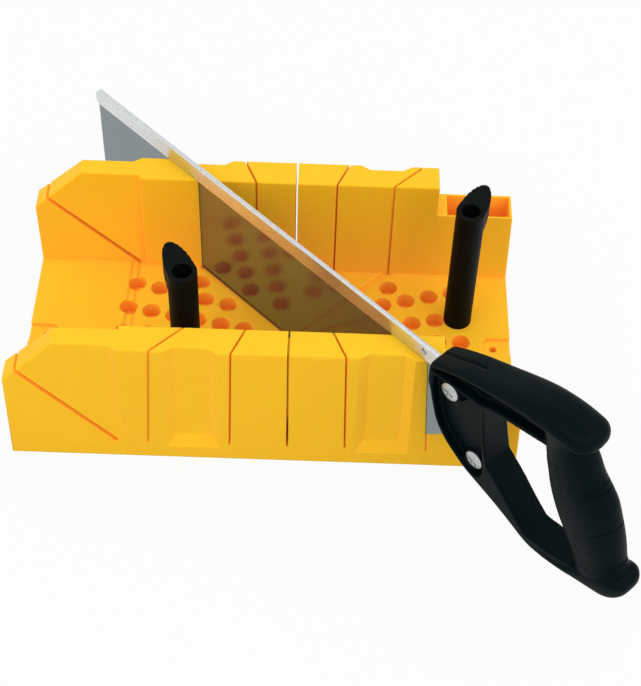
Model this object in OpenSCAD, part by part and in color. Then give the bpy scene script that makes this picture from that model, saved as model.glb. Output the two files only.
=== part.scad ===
// Clamping mitre box with its back saw standing in the left hand 45 degree slot.
// The origin is where all the upright saw slots cross in plan, on the bench plane.
// X runs along the box, Y from the front wall to the back wall, Z up. Millimetres.

/* [Mitre box] */
// Slot crossing to the left end
box_left = 177.5; // [172:0.5:200]
// Slot crossing to the right end
box_right = 147.5; // [144:0.5:170]
// Clear width between the two walls
channel_w = 129; // [122:1:140]
// Height of the two tall walls above the bench
wall_top = 98.5; // [90:0.5:110]
// Thickness of a wall at its top edge
wall_t = 20.5; // [19:0.5:24]
// How far a wall's outer face leans out from its top edge to its foot
wall_lean = 5; // [2:0.5:8]
// Height of the bed that the work lies on
bed_z = 15; // [13.5:0.5:18]
// Moulded skin thickness of the hollow walls
shell_t = 3; // [2.4:0.1:3.4]
// Thickness of the bed plate above the ribs
bed_plate_t = 4.5; // [4:0.25:6]
// Thickness of the ribs under the bed
rib_t = 2.5; // [2:0.25:4]
// Widest clear space between two ribs
rib_gap = 35; // [28:1:38]

/* [Saw slots] */
// Full mitre angle of the two outer slots
mitre_angle = 45; // [42:0.5:46]
// Half mitre angle of the two inner slots
half_mitre_angle = 22.5; // [20:0.5:25]
// Width of an upright saw slot
slot_w = 1.4; // [1.4:0.1:2.4]
// Depth of the kerf grooves in the bed
kerf_depth = 1.5; // [1.25:0.25:3]
// Width of the kerf grooves in the bed
kerf_w = 4.5; // [3.5:0.5:6]
// Slot crossing to the lower end of the bevel slot
bevel_foot = 108.5; // [107:0.5:112]
// Width of the bevel slot
bevel_slot_w = 3.2; // [2.4:0.1:3.6]
// Width of the bevel slot's groove in the bed
bevel_groove_w = 8; // [6:0.5:10]

/* [Wall shape] */
// Depth of the panels set back in the walls' outer faces
panel_depth = 4; // [2:0.5:5]
// Length of the slope at each end of a panel
panel_ramp = 6; // [3:0.5:8]
// Slot crossing to the near end of a middle panel
panel_near = 43; // [41:0.5:46]
// Slot crossing to the far end of a middle panel
panel_far = 77; // [72:0.5:80]
// Height of the plain rail below the middle panels
rail_h = 10; // [8:0.5:18]
// Height of the slope at the foot of a middle panel
panel_foot_ramp = 9; // [6:0.5:14]
// Set back of the inner faces over the bevel section
inner_step = 3.5; // [2:0.5:4]
// Slot crossing to the step where the bevel section starts
step_x = 104.5; // [103:0.5:105.5]
// Length of the sloped corner at the left end of a wall
corner_run = 33.5; // [25:0.5:40]
// Height of the sloped corner at the left end of a wall
corner_rise = 33; // [25:0.5:36]
// Slot crossing to the right end of the tall walls
tall_right = 95; // [94:0.5:100]
// Height of the back wall's low end
back_shelf_z = 73; // [65:0.5:80]
// Height of the front wall's low end
front_shelf_z = 55; // [40:0.5:64]
// Depth of the open pocket in the back wall's low end
pocket_depth = 40; // [25:1:50]
// Rim around the pocket
pocket_rim = 1.5; // [1.2:0.1:2.5]
// Tall wall's end to the pocket
pocket_inset = 7; // [5:0.5:9]
// How far the walls' right end leans in from the bed to the wall's height
end_lean = 2.5; // [1:0.5:4]

/* [Peg holes] */
// Diameter of a peg hole
peg_hole_d = 12.5; // [12:0.1:12.8]
// Depth of a peg hole below the bed
peg_hole_depth = 11.5; // [11.2:0.1:12]
// Spacing of the peg holes along a row
peg_pitch = 16; // [15.5:0.25:17]

/* [Bench screws] */
// Diameter of a bench screw hole
bench_hole_d = 5; // [4:0.25:6]
// Distance from an end of the box to its bench screw
bench_hole_end = 11.5; // [9:0.5:13]
// Length of the recess around a bench screw
bench_recess_l = 20; // [17:0.5:21]
// Width of the recess around a bench screw
bench_recess_w = 15; // [13:0.5:18]
// Depth of the recess around a bench screw
bench_recess_depth = 3; // [2:0.25:4]
// Corner radius of the recess around a bench screw
bench_recess_r = 5; // [3:0.5:6]

/* [Cam pins] */
// Outer diameter of a pin's tube
pin_d = 18.75; // [18:0.25:20]
// Bore of a pin's tube
pin_bore_d = 12.5; // [10:0.25:13]
// Height of a pin above the bed
pin_h = 104; // [95:1:115]
// Radial clearance of a pin's spigot in its peg hole
spigot_clear = 0.3; // [0.2:0.05:0.5]
// Length of a pin's spigot
spigot_l = 10.5; // [8:0.25:10.75]
// Offset of a pin's tube from its spigot
pin_eccentric = 2; // [1:0.25:2.5]
// Reach of a pin's lever from the tube's axis
lever_reach = 26.5; // [24:0.5:30]
// Thickness of a lever at its tip
lever_tip_t = 9; // [6:0.5:11]
// Depth of a lever where it meets the tube
lever_root_t = 14; // [12:0.5:18]
// Direction of the left pin's lever
left_lever_angle = 114; // [0:1:359]
// Direction of the right pin's lever
right_lever_angle = 66; // [0:1:359]

/* [Saw] */
// Thickness of the blade
blade_t = 0.8; // [0.7:0.05:0.9]
// Slot crossing to the blade's toe
blade_toe = 197; // [190:1:215]
// Pitch of the teeth
tooth_pitch = 2.3; // [2:0.1:3.2]
// Depth of the teeth
tooth_depth = 1.3; // [0.8:0.1:1.8]
// Teeth tips to the bottom of the kerf groove
tooth_gap = 0.6; // [0.5:0.1:1]
// Length of the heel that slopes up inside the front wall's slot
heel_inside = 12; // [8:0.5:16]
// Thickness of the folded back
back_t = 3.4; // [3:0.1:5]
// Height of the folded back
back_h = 12; // [11.75:0.25:15]
// Depth of the blade inside the folded back
back_grip = 9.8; // [8:0.1:10.2]
// Back's length past the blade's toe
back_over = 1; // [0.5:0.5:3]
// Diameter of the hole through the back
back_hole_d = 4.5; // [3:0.25:5.5]
// Running gap between the back and the walls' top edges
back_gap = 0.3; // [0.2:0.05:0.5]

/* [Saw handle] */
// Thickness of the handle's cheeks
handle_t = 22.5; // [20:0.5:24]
// Radius of the arm's rounded crown
crown_r = 14; // [13:0.5:15]
// Thickness of the rounded grip
grip_t = 27; // [26:0.5:32]
// Depth of the grip from the finger gap to its back
grip_depth = 42; // [36:0.5:46]
// Thickness of the web between the handle's side recesses
web_t = 10; // [8:0.5:12]
// Gap from the handle to the front wall, measured along the saw
handle_gap = 3; // [1.5:0.1:4]
// Thickness of the slot for the blade
blade_slot_w = 1.3; // [1.2:0.05:1.6]
// Diameter of a handle screw's shank
screw_d = 5; // [4:0.25:5.5]
// Diameter of a handle screw's head
screw_head_d = 12.8; // [11.6:0.1:13.2]
// Height of a handle screw's head
screw_head_h = 2.2; // [1.8:0.1:3]
// Outer diameter of a sleeve nut
sleeve_d = 7.5; // [7:0.25:8.5]
// Radial clearance of the screws and sleeves in their holes
screw_clear = 0.3; // [0.2:0.05:0.4]

/* [Hidden] */
$fn = 48;

box_yellow = "#F4B92E";
pin_black = "#1D1F21";
handle_black = "#17191B";
blade_grey = "#9AA3A6";
back_grey = "#B4B8BA";
screw_zinc = "#C9CDCF";

// Amount by which a cutting tool passes the face it opens
over = 1;
// Length that passes every wall
long = 2 * (box_left + box_right);

wall_in = channel_w / 2;
wall_out = wall_in + wall_t;
wall_foot = wall_out + wall_lean;
lean_angle = atan(wall_lean / wall_top);
kerf_z = bed_z - kerf_depth;
// Outer face and right end of the back wall at the height of its low end
shelf_out = wall_out + wall_lean * (1 - back_shelf_z / wall_top);
shelf_end = box_right - end_lean * (back_shelf_z - bed_z) / (wall_top - bed_z);
slot_angles = [-mitre_angle, -half_mitre_angle, 0, half_mitre_angle, mitre_angle];

// Clearance of a recess or bore wall around the peg holes and the bench screws
boss_wall = 2.6;
bench_boss_wall = 1;
bench_boss_r = bench_recess_w / 2 + bench_boss_wall;
bench_holes = [-box_left + bench_hole_end, box_right - bench_hole_end];

// Lean of the bevel slot from the upright, and its foot to the upright side of its groove
bevel_angle = 45;
bevel_groove_side = 1;
groove_right = -bevel_foot + bevel_groove_side;
groove_left = groove_right - bevel_groove_w;

// Rows of peg holes: [first hole's distance from the crossing, its y, count, rise along the row]
peg_rows = [[65, 50.5, 1, 0],
            [45, 30.1, 5, 4.4],
            [33, 8.4, 6, 3.4],
            [82, 2, 3, 0.5],
            [45, -14, 5, -3.2],
            [52, -32, 5, -3.2]];
function peg_at(side, row, i) = [side * (row[0] + i * peg_pitch), row[1] + i * row[3]];
peg_holes = [for (side = [-1, 1], row = peg_rows, i = [0 : row[2] - 1]) peg_at(side, row, i)];

// The left pin stands in the second hole of the front row, the right pin in the third row's last hole
left_peg = peg_at(-1, peg_rows[5], 1);
right_peg = peg_at(1, peg_rows[2], peg_rows[2][2] - 1);
pin_seat_gap = 0.2;
spigot_d = peg_hole_d - 2 * spigot_clear;
pin_floor_t = 8;
// How far a lever's flanks run in under the tube's skin, and its half width at the tube
lever_sink = 0.2;
lever_side = pin_d / 2 - lever_sink;
// Turns round a lever's half oval of its corners and of its thumb grooves
lever_turns = [-90 : 6 : 90];
lever_ridge_turns = [27 : 12 : 75];
lever_ridge_r = 0.9;

// Saw frame: X along the blade to the handle, Y across it to the far side, Z up as the box's
back_z = wall_top + back_gap;
teeth_z = kerf_z + tooth_gap;
front_s = wall_out / cos(mitre_angle);
heel_s = front_s - heel_inside;
handle_s = front_s + handle_t / 2 + handle_gap;
back_slot_clear = 0.05;
back_slot_w = blade_t + 2 * back_slot_clear;
back_slot_end = 0.5;
back_fold_r = 1.4;
back_toe_r = 4.5;
back_end = 3;
back_hole_at = [-18, 6.7];
socket_clear = 0.2;

// Handle outline from the nose round the arm, grip, butt and strut, from the handle's front edge
// at the height of the back's lower edge
web_corner = [13, -39];
nose = 4.5;
handle_outline = [[-nose, 0.8], [-nose, 11.5], [3, 12], [30, 26.8], [60, 38], [82, 42.3], [104, 43],
    [109, 38], [112, 27], [117, 18.5], [123.5, 11], [131, 1.5], [137, -12], [142.5, -25.5], [146, -39],
    [150, -44], [155, -48.5], [156.5, -54], [153, -61], [146, -66.5], [136, -69.5], [121, -72.5],
    [105, -75.5], [88, -76.5], [76, -71.5], [62.5, -64], [44, -56.5], [31, -52], web_corner, [5, -22],
    [0.5, -5], [0.5, 0.8]];
finger_gap = [[38.5, 11.5], [44, 17.5], [58, 19.8], [82, 24], [84.5, 6], [90, -12], [104.5, -38],
    [115, -54], [109, -64], [97, -68.8], [83, -71], [71.5, -60.2], [49, -37.5], [45.5, -33]];
side_recess = [[4.5, 4], [8, 8.5], [30, 21.3], [45, 27.8], [60, 32.7], [75, 35.9], [90, 37.8],
    [98, 36.6], [99, 32], [92, 28.5], [80, 26.8], [58, 23], [42, 20.4], [35, 13], [35.5, 4],
    [41.8, -28], [41, -36], [30, -46.5], [16, -36], [7.5, -20], [4.5, -4]];
// Rear end of the crown's ridge, and the radius at which the ridge bends down to the nose
crown_end = [102, 53.2];
crown_bend = 175;
crown_sweep = asin((crown_end[0] + nose) / crown_bend);
// Step from the crown in to the dome at its rear end
dome_step = 0.3;
// Tail of the blade inside the handle, and the room left around it
tail_top = [33, back_grip];
tail_rear = [41, -48];
tail_low = [32.5, -48];
tail_clear = 1.2;
slit_end = 30;
upper_screw_at = [10, -1.8];
lower_screw_at = [35, -44.8];
boss_h = 1.5;
// Wall of a screw's boss around the room for its head
boss_ring = 1.4;
boss_r = screw_head_d / 2 + 2 * screw_clear + boss_ring;
cheek_face = web_t / 2 + boss_h;
sleeve_gap = 0.4;
grip_lean = 27;
grip_mid = [114.7, -15];
grip_round_r = 13;
grip_half = 30;
grip_root = 10;
drive_w = 1.6;
drive_l = 7;
drive_depth = 1.2;
drive_turn = 20;

// Corner cutting, which turns a hand drawn outline into a smooth one
function cut_corners(p, times) = times == 0 ? p : cut_corners([
    for (i = [0 : len(p) - 1], t = [0.25, 0.75]) p[i] * (1 - t) + p[(i + 1) % len(p)] * t], times - 1);

// Place on a lever's half oval at turn t, and the direction straight out of it there
function lever_at(t) = [lever_reach * cos(t), lever_side * sin(t)];
function lever_out(t) = let (n = [lever_side * cos(t), lever_reach * sin(t)]) n / norm(n);

// Edge of a hollow beside the slot at angle a, on its left (side -1) or right (side 1)
function beside_slot(a, side) = [for (y = hollow_y)
    [y * tan(a) + side * (slot_w / 2 + shell_t) / cos(a), y]];
// Upright edge of a hollow at x
function upright(x) = [for (y = hollow_y) [x, y]];
hollow_y = [wall_in + shell_t, wall_out - panel_depth - shell_t];

// Prism with its outline in the XZ plane, from y0 to y1
module across(y0, y1) {
    translate([0, y1, 0]) rotate([90, 0, 0]) linear_extrude(y1 - y0) children();
}

// Prism with its outline in the YZ plane, from x0 to x1
module along(x0, x1) {
    translate([x0, 0, 0]) rotate([90, 0, 90]) linear_extrude(x1 - x0) children();
}

// Box given by its two corners
module block(a, b) {
    translate(a) cube(b - a);
}

// Tool for one outer panel of the back wall, which follows the face's lean down to its foot
module panel_cut(x0, x1, ramp0, ramp1, foot, foot_ramp) {
    reach = (wall_top - foot) / cos(lean_angle);
    slope = foot_ramp / panel_depth;
    past = over / panel_depth;
    translate([0, wall_out, wall_top]) rotate([lean_angle, 0, 0]) difference() {
        translate([0, 0, -reach]) linear_extrude(reach + 2 * over)
            polygon([[x0 - past * ramp0, over], [x0 + ramp0, -panel_depth],
                     [x1 - ramp1, -panel_depth], [x1 + past * ramp1, over]]);
        // Slope at the foot, from the face in to the panel
        along(x0 - 2 * panel_ramp, x1 + 2 * panel_ramp)
            polygon([[2 * over, -reach - 2 * over * slope],
                     [-panel_depth - over, -reach - 2 * over * slope],
                     [-panel_depth - over, -reach + (panel_depth + over) * slope]]);
    }
}

// Hollow inside one post of the back wall, between two edges, open at the bench
module post_hollow(left, right, top) {
    translate([0, 0, -over]) linear_extrude(top + over)
        polygon([left[0], left[1], right[1], right[0]]);
}

// Back wall with its sloped corner, low end, panels and hollow posts
module wall(shelf_z) {
    a = slot_angles;
    post_top = wall_top - shell_t;
    low_top = wall_top - corner_rise - shell_t;
    bevel_side = -bevel_foot - (bevel_slot_w / 2 + shell_t) / cos(bevel_angle);
    difference() {
        along(-box_left, box_right)
            polygon([[wall_in, 0], [wall_foot, 0], [wall_out, wall_top], [wall_in, wall_top]]);
        // Sloped corner and low end
        across(wall_in - over, wall_foot + over)
            polygon([[-box_left - over, wall_top + over], [-box_left - over, wall_top - corner_rise],
                     [-box_left, wall_top - corner_rise], [-box_left + corner_run, wall_top],
                     [-box_left + corner_run, wall_top + over]]);
        block([tall_right, wall_in - over, shelf_z],
              [box_right + over, wall_foot + over, wall_top + over]);
        // Lean of the right end
        across(wall_in - over, wall_foot + over)
            polygon([[box_right, bed_z], [box_right + over, bed_z], [box_right + over, wall_top],
                     [box_right - end_lean, wall_top]]);
        // Outer panels: the left one runs out to nothing at the bench
        panel_cut(-box_left - panel_ramp, -step_x, 0, panel_ramp, 0, wall_top + panel_ramp);
        panel_cut(-panel_far, -panel_near, panel_ramp, panel_ramp, rail_h, panel_foot_ramp);
        panel_cut(panel_near, panel_far, panel_ramp, panel_ramp, rail_h, panel_foot_ramp);
        // Inner face set back over the bevel section
        block([-box_left - over, wall_in - over, bed_z],
              [-step_x, wall_in + inner_step, wall_top + over]);
        // Hollow posts between the slots
        post_hollow(upright(-step_x + shell_t), beside_slot(a[0], -1), post_top);
        for (i = [0 : len(a) - 2])
            post_hollow(beside_slot(a[i], 1), beside_slot(a[i + 1], -1), post_top);
        post_hollow(beside_slot(a[len(a) - 1], 1), upright(tall_right - shell_t), post_top);
        // Hollow below the bevel slot
        across(wall_in + inner_step + shell_t, hollow_y[1])
            polygon([[-box_left + shell_t, -over], [-box_left + shell_t, low_top],
                     [bevel_side - (low_top - kerf_z) * tan(bevel_angle), low_top],
                     [bevel_side, kerf_z], [bevel_side, -over]]);
    }
}

// Slots of all five upright cuts, with their kerf grooves, and the bevel cut
module saw_cuts() {
    for (a = slot_angles) rotate([0, 0, -a])
        translate([-slot_w / 2, -long / 2, kerf_z]) cube([slot_w, long, wall_top]);
    intersection() {
        for (a = slot_angles) rotate([0, 0, -a])
            translate([-kerf_w / 2, -long / 2, kerf_z]) cube([kerf_w, long, kerf_depth + over]);
        block([-box_left, -wall_in, 0], [box_right, wall_in, wall_top]);
    }
    translate([-bevel_foot, 0, kerf_z]) rotate([0, -bevel_angle, 0])
        translate([-bevel_slot_w / 2, -long / 2, 0]) cube([bevel_slot_w, long, long]);
    across(-wall_in - inner_step, wall_in + inner_step)
        polygon([[groove_right, kerf_z], [groove_right, bed_z + over],
                 [groove_left - over, bed_z + over], [groove_left, bed_z],
                 [groove_left + kerf_depth, kerf_z]]);
}

// Hollows under the bed between the ribs, with the bosses of all holes left standing
module bed_hollows() {
    span = [box_left + box_right - 2 * shell_t, channel_w];
    count = [for (s = span) 2 * ceil((s + rib_t) / (rib_gap + rib_t) / 2)];
    cell = [for (i = [0, 1]) (span[i] - (count[i] - 1) * rib_t) / count[i]];
    depth = bed_z - bed_plate_t;
    difference() {
        for (i = [0 : count[0] - 1], j = [0 : count[1] - 1])
            translate([-box_left + shell_t + i * (cell[0] + rib_t), -wall_in + j * (cell[1] + rib_t), -over])
                cube([cell[0], cell[1], depth + over]);
        for (p = peg_holes) translate([p[0], p[1], -2 * over])
            cylinder(h = depth + 4 * over, r = peg_hole_d / 2 + boss_wall, $fn = 8);
        for (x = bench_holes) translate([x, 0, -2 * over])
            cylinder(h = depth + 4 * over, r = bench_boss_r, $fn = 8);
    }
}

// The box: one moulding with a bed, two slotted walls and two bench screw recesses
module mitre_box() {
    color(box_yellow) difference() {
        union() {
            block([-box_left, -wall_in - over, 0], [box_right, wall_in + over, bed_z]);
            wall(back_shelf_z);
            mirror([0, 1, 0]) wall(front_shelf_z);
        }
        saw_cuts();
        bed_hollows();
        for (p = peg_holes) translate([p[0], p[1], bed_z - peg_hole_depth])
            cylinder(h = peg_hole_depth + over, d = peg_hole_d);
        for (x = bench_holes) translate([x, 0, -over])
            cylinder(h = bed_z + 2 * over, d = bench_hole_d);
        for (x = [-box_left, box_right]) translate([x, 0, bed_z - bench_recess_depth])
            linear_extrude(bench_recess_depth + over)
                rounded_box(2 * (bench_recess_l - over), bench_recess_w, bench_recess_r);
        // Open pocket in the back wall's low end, and the hollows below both low ends
        block([tall_right + pocket_inset, wall_in + pocket_rim, back_shelf_z - pocket_depth],
              [shelf_end - pocket_rim, shelf_out - pocket_rim, back_shelf_z + over]);
        block([tall_right + shell_t, hollow_y[0], -over],
              [box_right - shell_t, hollow_y[1], back_shelf_z - pocket_depth - shell_t]);
        block([tall_right + shell_t, -hollow_y[1], -over],
              [box_right - shell_t, -hollow_y[0], front_shelf_z - shell_t]);
    }
}

// Cam pin at its own spigot: a tube set back from its spigot, with a lever along +X at the top
module cam_pin() {
    seat = bed_z + pin_seat_gap;
    top = bed_z + pin_h;
    slope = (lever_root_t - lever_tip_t) / (lever_reach - pin_d / 2);
    color(pin_black) union() {
        translate([0, 0, seat - spigot_l]) cylinder(h = spigot_l + over, d = spigot_d);
        translate([-pin_eccentric, 0, 0]) difference() {
            union() {
                translate([0, 0, seat]) cylinder(h = top - seat, d = pin_d);
                intersection() {
                    translate([0, 0, top - 2 * lever_root_t]) linear_extrude(2 * lever_root_t) lever_plan();
                    across(-pin_d, pin_d)
                        polygon([[-pin_d, top], [lever_reach + over, top],
                                 [lever_reach + over, top - lever_tip_t + slope * over],
                                 [0, top - lever_root_t - slope * pin_d / 2],
                                 [-pin_d, top - lever_root_t]]);
                }
            }
            translate([0, 0, seat + pin_floor_t]) cylinder(h = pin_h, d = pin_bore_d);
        }
    }
}

// Half oval of a lever, with thumb grooves down both its edges
module lever_plan() {
    difference() {
        polygon([for (t = lever_turns) lever_at(t)]);
        for (side = [-1, 1], t = lever_ridge_turns)
            translate(lever_at(side * t) + lever_out(side * t) * lever_ridge_r / 2)
                circle(r = lever_ridge_r);
    }
}

module cam_pin_left() {
    translate([left_peg[0], left_peg[1], 0]) rotate([0, 0, left_lever_angle]) cam_pin();
}

module cam_pin_right() {
    translate([right_peg[0], right_peg[1], 0]) rotate([0, 0, right_lever_angle]) cam_pin();
}

// Puts the saw frame into the full mitre slot
module in_slot() {
    rotate([0, 0, -mitre_angle]) children();
}

// Puts the handle's outline frame at its place along the saw
module at_handle() {
    translate([handle_s, 0, back_z]) children();
}

// Round hole across the saw at a place in the handle's frame
module cross_hole(at, d, y0, y1) {
    at_handle() translate([at[0], y1, at[1]]) rotate([90, 0, 0]) cylinder(h = y1 - y0, d = d);
}

// Blade with its teeth, sloped heel and the tail inside the handle
module saw_blade() {
    tooth_count = floor((blade_toe + heel_s) / tooth_pitch);
    teeth = [for (i = [0 : tooth_count - 1], t = [0, 0.5])
        [-blade_toe + (i + t) * tooth_pitch, teeth_z + (t == 0 ? 0 : tooth_depth)]];
    tail_s = handle_s + tail_low[0];
    // The heel slopes up at 45 degrees until it is inside the handle
    heel_end = heel_s + back_z + web_corner[1] - teeth_z + over;
    color(blade_grey) in_slot() difference() {
        across(-blade_t / 2, blade_t / 2) polygon(concat(teeth, [
            [heel_s, teeth_z],
            [heel_end, teeth_z + heel_end - heel_s],
            [tail_s, back_z + tail_low[1]],
            [handle_s + tail_rear[0], back_z + tail_rear[1]],
            [handle_s + tail_top[0], back_z + tail_top[1]],
            [-blade_toe, back_z + back_grip]]));
        for (at = [upper_screw_at, lower_screw_at])
            cross_hole(at, screw_d + 2 * screw_clear, -over, over);
        cross_hole(back_hole_at, back_hole_d, -over, over);
    }
}

// Stiffening back: a sheet folded down over the blade's upper edge
module saw_back() {
    color(back_grey) in_slot() difference() {
        along(-blade_toe - back_over, handle_s + back_end) difference() {
            union() {
                translate([-back_t / 2, back_z]) square([back_t, back_h - back_fold_r]);
                translate([-back_t / 2 + back_fold_r, back_z]) square([back_t - 2 * back_fold_r, back_h]);
                for (side = [-1, 1])
                    translate([side * (back_t / 2 - back_fold_r), back_z + back_h - back_fold_r])
                        circle(r = back_fold_r);
            }
            translate([-back_slot_w / 2, back_z - over])
                square([back_slot_w, over + back_grip + back_slot_end]);
        }
        for (up = [0, 1]) across(-back_t, back_t)
            translate([-blade_toe - back_over, back_z + up * back_h]) rotate(-90 * up)
                corner_cut(back_toe_r);
        cross_hole(back_hole_at, back_hole_d, -back_t, back_t);
    }
}

// Tool that rounds the lower left corner of an outline, with the corner at the origin
module corner_cut(r) {
    difference() {
        translate([-over, -over]) square(r + over);
        translate([r, r]) circle(r = r);
    }
}

// Rounded bar of the grip, with both ends inside the arm and the butt
module grip_bar() {
    translate([grip_mid[0], 0, grip_mid[1]]) rotate([0, -grip_lean, 0])
        translate([0, 0, -grip_half - grip_root]) linear_extrude(2 * (grip_half + grip_root))
            rounded_box(grip_depth, grip_t, grip_round_r);
}

// Box of a by b with corners of radius r, centred
module rounded_box(a, b, r) {
    square([a, b - 2 * r], center = true);
    square([a - 2 * r, b], center = true);
    for (x = [-1, 1], y = [-1, 1]) translate([x * (a / 2 - r), y * (b / 2 - r)]) circle(r = r);
}

// Crown of the arm: a half round that bends down to the nose, with a dome at its rear end
module crown() {
    translate([crown_end[0], 0, crown_end[1]]) {
        translate([0, 0, -crown_bend]) rotate([90, 0, 0]) rotate([0, 0, 90])
            rotate_extrude(angle = crown_sweep, $fn = 360)
                translate([crown_bend - crown_r, 0]) intersection() {
                    circle(r = crown_r);
                    translate([0, -crown_r]) square([crown_r, 2 * crown_r]);
                }
        translate([0, 0, -crown_r]) intersection() {
            rotate([0, -45, 0]) sphere(r = crown_r - dome_step);
            block([-over, -crown_r, dome_step], [crown_r, crown_r, crown_r]);
        }
    }
}

// Handle moulding: crowned arm, web with side recesses, grip and strut round the finger gap
module saw_handle() {
    color(handle_black) in_slot() difference() {
        at_handle() difference() {
            union() {
                across(-handle_t / 2, handle_t / 2) difference() {
                    polygon(cut_corners(handle_outline, 2));
                    polygon(cut_corners(finger_gap, 2));
                    translate(grip_mid) rotate(grip_lean)
                        square([2 * grip_depth, 2 * grip_half], center = true);
                }
                crown();
                grip_bar();
            }
            for (side = [-1, 1]) difference() {
                across(side > 0 ? web_t / 2 : -handle_t, side > 0 ? handle_t : -web_t / 2)
                    polygon(cut_corners(side_recess, 2));
                for (at = [upper_screw_at, lower_screw_at])
                    translate([at[0], 0, at[1]]) rotate([90, 0, 0])
                        cylinder(h = 2 * cheek_face, r = boss_r, center = true);
            }
            // Slot for the blade, slit above it and socket for the back
            across(-blade_slot_w / 2, blade_slot_w / 2)
                polygon([[-long, -long], [tail_rear[0] + tail_clear, -long],
                         [tail_rear[0] + tail_clear, tail_rear[1]],
                         [tail_top[0] + tail_clear, tail_top[1] + tail_clear],
                         [slit_end, tail_top[1] + tail_clear], [slit_end, long],
                         [-long, long]]);
            block([-long, -back_t / 2 - socket_clear, -socket_clear],
                  [back_end + socket_clear, back_t / 2 + socket_clear, back_h + socket_clear]);
        }
        for (at = [upper_screw_at, lower_screw_at]) {
            cross_hole(at, screw_d + 2 * screw_clear, -handle_t, 0);
            cross_hole(at, sleeve_d + 2 * screw_clear, 0, handle_t);
            cross_hole(at, screw_head_d + 4 * screw_clear, -handle_t, -cheek_face);
            cross_hole(at, screw_head_d + 4 * screw_clear, cheek_face, handle_t);
        }
    }
}

// Handle screw: low head on the near side with a cross drive, shank through the blade
module handle_screw(at) {
    color(screw_zinc) in_slot() difference() {
        union() {
            cross_hole(at, screw_d, -cheek_face - over, cheek_face - over);
            at_handle() translate([at[0], -cheek_face, at[1]]) rotate([90, 0, 0])
                rotate_extrude() screw_head_half();
        }
        at_handle() translate([at[0], -cheek_face - screw_head_h, at[1]])
            for (turn = [drive_turn, drive_turn + 90]) rotate([0, turn, 0])
                cube([drive_l, 2 * drive_depth, drive_w], center = true);
    }
}

// Half section of a screw head: a short rim under a shallow slope
module screw_head_half() {
    rim = screw_head_h / 2;
    polygon([[0, 0], [screw_head_d / 2, 0], [screw_head_d / 2, rim],
             [screw_head_d / 4, screw_head_h], [0, screw_head_h]]);
}

// Sleeve nut: flat head on the far side with a barrel around the screw's end
module sleeve_nut(at) {
    color(screw_zinc) in_slot() difference() {
        union() {
            cross_hole(at, sleeve_d, blade_slot_w / 2 + sleeve_gap, cheek_face + over);
            at_handle() translate([at[0], cheek_face, at[1]]) rotate([-90, 0, 0])
                rotate_extrude() screw_head_half();
        }
        cross_hole(at, screw_d + screw_clear, 0, cheek_face - over / 2);
    }
}

module upper_handle_screw() { handle_screw(upper_screw_at); }
module lower_handle_screw() { handle_screw(lower_screw_at); }
module upper_sleeve_nut() { sleeve_nut(upper_screw_at); }
module lower_sleeve_nut() { sleeve_nut(lower_screw_at); }

mitre_box();
cam_pin_left();
cam_pin_right();
saw_blade();
saw_back();
saw_handle();
upper_handle_screw();
lower_handle_screw();
upper_sleeve_nut();
lower_sleeve_nut();
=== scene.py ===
"""Looks of a clamping mitre box with its back saw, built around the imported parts.

The box, the pins, the blade and the screws keep their places from the frame. Sizes of the pieces
and finishes are in millimetres here. The studio and every finished mesh are in metres.
"""

import logging
import math
from dataclasses import dataclass, field
from enum import Enum
from typing import Callable, Iterable, Sequence

import bmesh
import bpy
from mathutils import Matrix, Vector


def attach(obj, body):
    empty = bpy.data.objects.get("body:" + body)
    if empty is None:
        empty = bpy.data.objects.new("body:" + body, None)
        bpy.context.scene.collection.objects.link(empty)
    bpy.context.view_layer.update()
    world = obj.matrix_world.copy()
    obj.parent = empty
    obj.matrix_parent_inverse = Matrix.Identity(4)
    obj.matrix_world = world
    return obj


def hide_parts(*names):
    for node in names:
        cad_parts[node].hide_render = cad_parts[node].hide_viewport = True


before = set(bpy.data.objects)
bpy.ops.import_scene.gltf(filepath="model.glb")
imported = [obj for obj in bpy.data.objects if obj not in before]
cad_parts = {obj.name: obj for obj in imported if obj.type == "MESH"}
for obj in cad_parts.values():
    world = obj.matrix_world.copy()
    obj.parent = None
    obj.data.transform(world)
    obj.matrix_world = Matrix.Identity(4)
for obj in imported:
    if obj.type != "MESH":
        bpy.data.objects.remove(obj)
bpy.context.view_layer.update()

MM = 0.001
LOG = logging.getLogger("mitre_box")

# Turn of the saw about Z, in the 45 degree slot
SAW_TURN = math.radians(-45)
# Corners of a CAD mesh that lie closer together than this are one
WELD_MM = 0.001
# Bends between two faces: those below FLAT make one flat face, those below SLIGHT are shaded
# smooth, and outward ones above SHARP are rounded
FLAT_BEND = math.radians(0.4)
SLIGHT_BEND = math.radians(20)
SHARP_BEND = math.radians(40)
# Material numbers that tell a moulding's own faces from those of its roundings
PLAIN = 0
ROUNDED = 1
ROUNDING_FACES = 3
DISC_SIDES = 48
WHITE = (1.0, 1.0, 1.0, 1.0)

Point = tuple[float, float]
Corner = tuple[float, float, float]
Row = tuple[float, ...]
Range = tuple[float, float]
Colour = tuple[float, float, float, float]
Socket = bpy.types.NodeSocket
Tree = bpy.types.NodeTree
Material = bpy.types.Material
Mesh = bmesh.types.BMesh
Solid = bpy.types.Object


class Body(Enum):
    """Bodies that the pieces ride on."""

    BOX = "box"
    LEFT_PIN = "left_pin"
    RIGHT_PIN = "right_pin"
    SAW = "saw"


class Joining(Enum):
    """Ways to work one solid into another."""

    ADD = "UNION"
    CUT = "DIFFERENCE"


class Slot(Enum):
    """Names of material slots for the pieces made here, which nothing in the script uses."""

    BOX = "box_plastic"
    PIN = "pin_plastic"
    HANDLE = "handle_plastic"


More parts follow.
